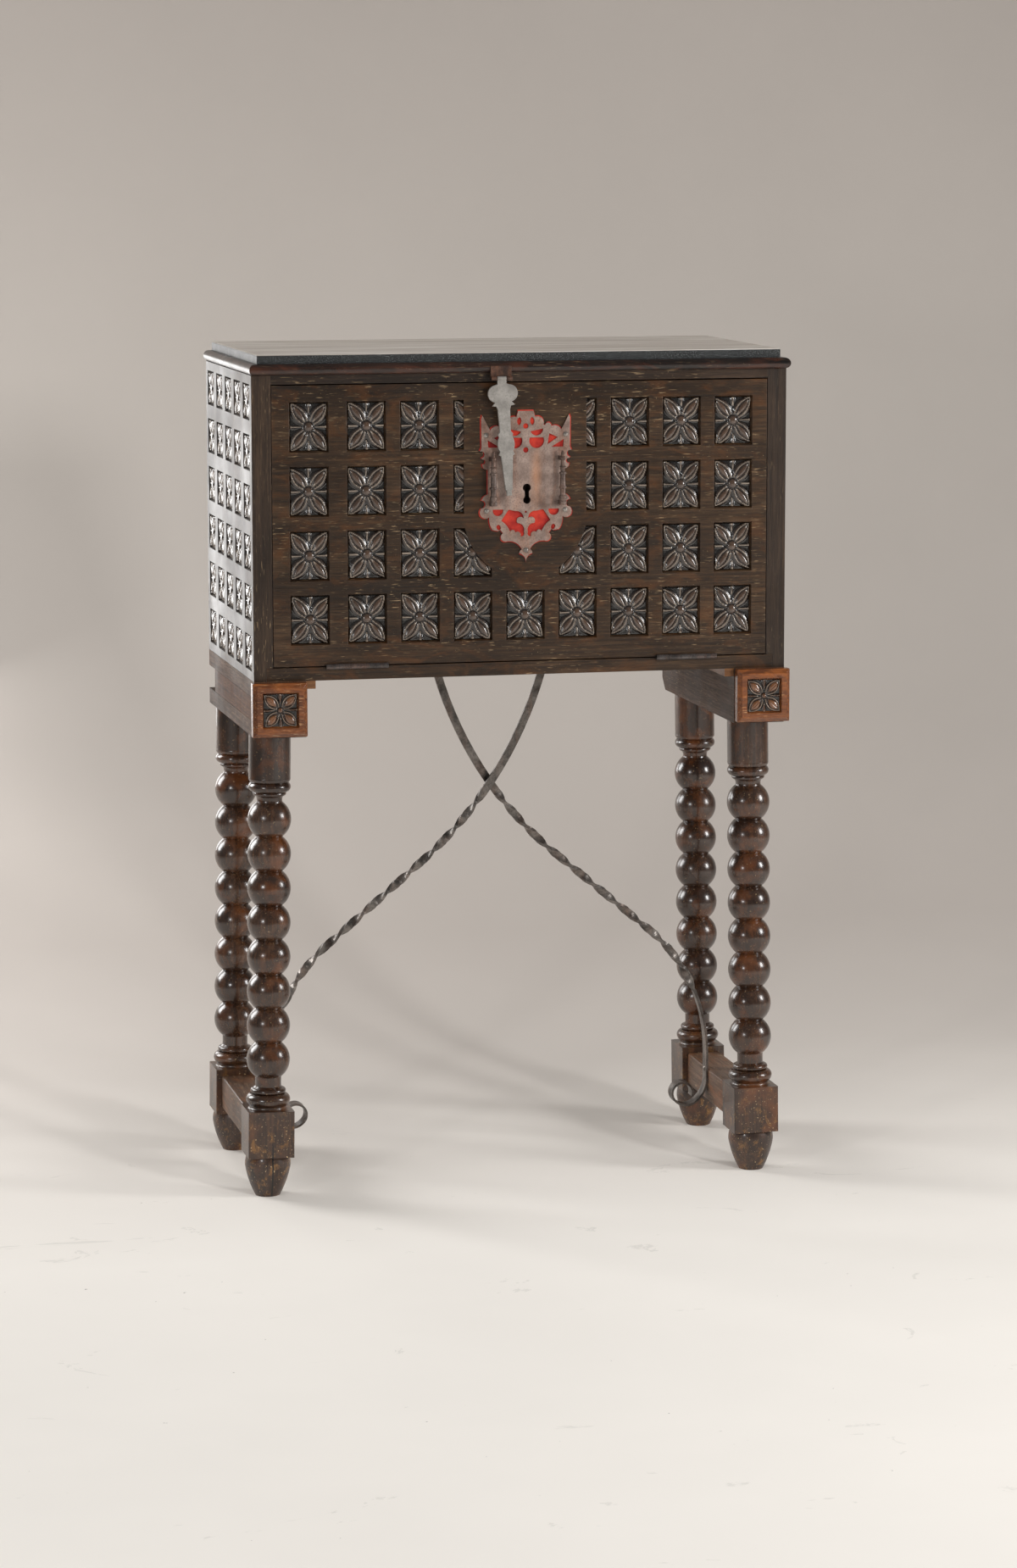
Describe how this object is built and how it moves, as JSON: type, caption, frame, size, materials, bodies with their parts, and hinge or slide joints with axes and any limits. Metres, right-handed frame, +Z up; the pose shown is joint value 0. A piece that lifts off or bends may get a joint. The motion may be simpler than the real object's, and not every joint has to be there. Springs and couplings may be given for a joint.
{
  "type": "drop-front writing desk",
  "caption": "Spanish vargueno: an oak drop-front writing chest with carved rosettes and a pierced iron lock plate, on a trestle stand with bobbin-turned legs and twisted iron stays.",
  "frame": {"origin": "on the floor, under the middle of the whole object's bounding box", "axes": "+Z up, +Y towards the back, so the drop front faces -Y; +X to the right as seen from the front"},
  "size_m": [0.8172, 0.4437, 1.2535],
  "materials": {
    "oak_case": "waxed dark oak",
    "oak_sides": "waxed dark oak",
    "oak_front": "waxed and polished carved oak",
    "oak_top": "dry, greyed oak",
    "moulding": "polished red-brown oak",
    "oak_inside": "plain wood, unpolished",
    "walnut_drawers": "satin walnut",
    "turned_wood": "glossy dark red-brown walnut",
    "stretcher_wood": "worn walnut",
    "bearer_wood": "waxed walnut",
    "loper_wood": "waxed orange-brown walnut",
    "knob_bone": "pale turned boxwood",
    "plate_iron": "brown-grey wrought iron with rust",
    "hasp_iron": "burnished wrought iron",
    "dark_iron": "dark forged iron",
    "nail_iron": "burnished nail heads",
    "velvet": "worn red velvet"
  },
  "bodies": {
    "case_and_stand": {"side_left": "oak_sides", "side_right": "oak_sides", "floor_board": "oak_case", "top_board": "oak_top", "edge_moulding": "moulding", "top_rail": "oak_case", "back_panel": "oak_inside", "front_stops": "oak_inside", "case_cleats": "oak_inside", "nest_partitions": "oak_inside", "bank_shelves": "oak_inside", "niche_shelf": "oak_inside", "niche_arch": "walnut_drawers", "hinge_leaves_fixed": "dark_iron", "hinge_pins": "dark_iron", "hasp_leaf": "plate_iron", "bearer_board_left": "bearer_wood", "bearer_board_right": "bearer_wood", "bearer_strips": "bearer_wood", "leg_front_left": "turned_wood", "leg_front_right": "turned_wood", "leg_back_left": "turned_wood", "leg_back_right": "turned_wood", "stretcher_left": "stretcher_wood", "stretcher_right": "stretcher_wood", "stay_front": "dark_iron", "stay_rear": "dark_iron", "stay_nails": "nail_iron"},
    "drop_front": {"fall_front": "oak_front", "velvet_backing": "velvet", "lock_plate": "plate_iron", "lock_columns": "hasp_iron", "plate_nails": "nail_iron", "lock_case": "dark_iron", "hinge_leaves_moving": "dark_iron"},
    "hasp_body": {"hasp": "hasp_iron", "hasp_staple": "dark_iron"},
    "bolt": {"lock_bolt": "dark_iron"},
    "loper_left": {"loper_slide_left": "loper_wood", "loper_block_left": "loper_wood"},
    "loper_right": {"loper_slide_right": "loper_wood", "loper_block_right": "loper_wood"},
    "drawer_left_1": {"drawer_left_1_front": "walnut_drawers", "drawer_left_1_box": "oak_inside", "drawer_left_1_knob": "knob_bone"},
    "drawer_left_2": {"drawer_left_2_front": "walnut_drawers", "drawer_left_2_box": "oak_inside", "drawer_left_2_knob": "knob_bone"},
    "drawer_left_3": {"drawer_left_3_front": "walnut_drawers", "drawer_left_3_box": "oak_inside", "drawer_left_3_knob": "knob_bone"},
    "drawer_right_1": {"drawer_right_1_front": "walnut_drawers", "drawer_right_1_box": "oak_inside", "drawer_right_1_knob": "knob_bone"},
    "drawer_right_2": {"drawer_right_2_front": "walnut_drawers", "drawer_right_2_box": "oak_inside", "drawer_right_2_knob": "knob_bone"},
    "drawer_right_3": {"drawer_right_3_front": "walnut_drawers", "drawer_right_3_box": "oak_inside", "drawer_right_3_knob": "knob_bone"}
  },
  "joints": [
    {"name": "front_hinge", "type": "hinge", "parent": "case_and_stand", "child": "drop_front", "pos_m": [0, -0.20415, 0.8008], "axis": [1, 0, 0], "range_deg": [0, 95.5]},
    {"name": "hasp_hinge", "type": "hinge", "parent": "case_and_stand", "child": "hasp_body", "pos_m": [-0.0344, -0.21635, 1.2165], "axis": [-1, 0, 0], "range_deg": [-3.5, 150]},
    {"name": "bolt_slide", "type": "slide", "parent": "drop_front", "child": "bolt", "axis": [-1, 0, 0], "range_m": [0, 0.011]},
    {"name": "loper_slide_left", "type": "slide", "parent": "case_and_stand", "child": "loper_left", "axis": [0, -1, 0], "range_m": [0, 0.24]},
    {"name": "loper_slide_right", "type": "slide", "parent": "case_and_stand", "child": "loper_right", "axis": [0, -1, 0], "range_m": [0, 0.24]},
    {"name": "drawer_left_1_slide", "type": "slide", "parent": "case_and_stand", "child": "drawer_left_1", "axis": [0, -1, 0], "range_m": [0, 0.125]},
    {"name": "drawer_left_2_slide", "type": "slide", "parent": "case_and_stand", "child": "drawer_left_2", "axis": [0, -1, 0], "range_m": [0, 0.125]},
    {"name": "drawer_left_3_slide", "type": "slide", "parent": "case_and_stand", "child": "drawer_left_3", "axis": [0, -1, 0], "range_m": [0, 0.125]},
    {"name": "drawer_right_1_slide", "type": "slide", "parent": "case_and_stand", "child": "drawer_right_1", "axis": [0, -1, 0], "range_m": [0, 0.125]},
    {"name": "drawer_right_2_slide", "type": "slide", "parent": "case_and_stand", "child": "drawer_right_2", "axis": [0, -1, 0], "range_m": [0, 0.125]},
    {"name": "drawer_right_3_slide", "type": "slide", "parent": "case_and_stand", "child": "drawer_right_3", "axis": [0, -1, 0], "range_m": [0, 0.125]}
  ]
}
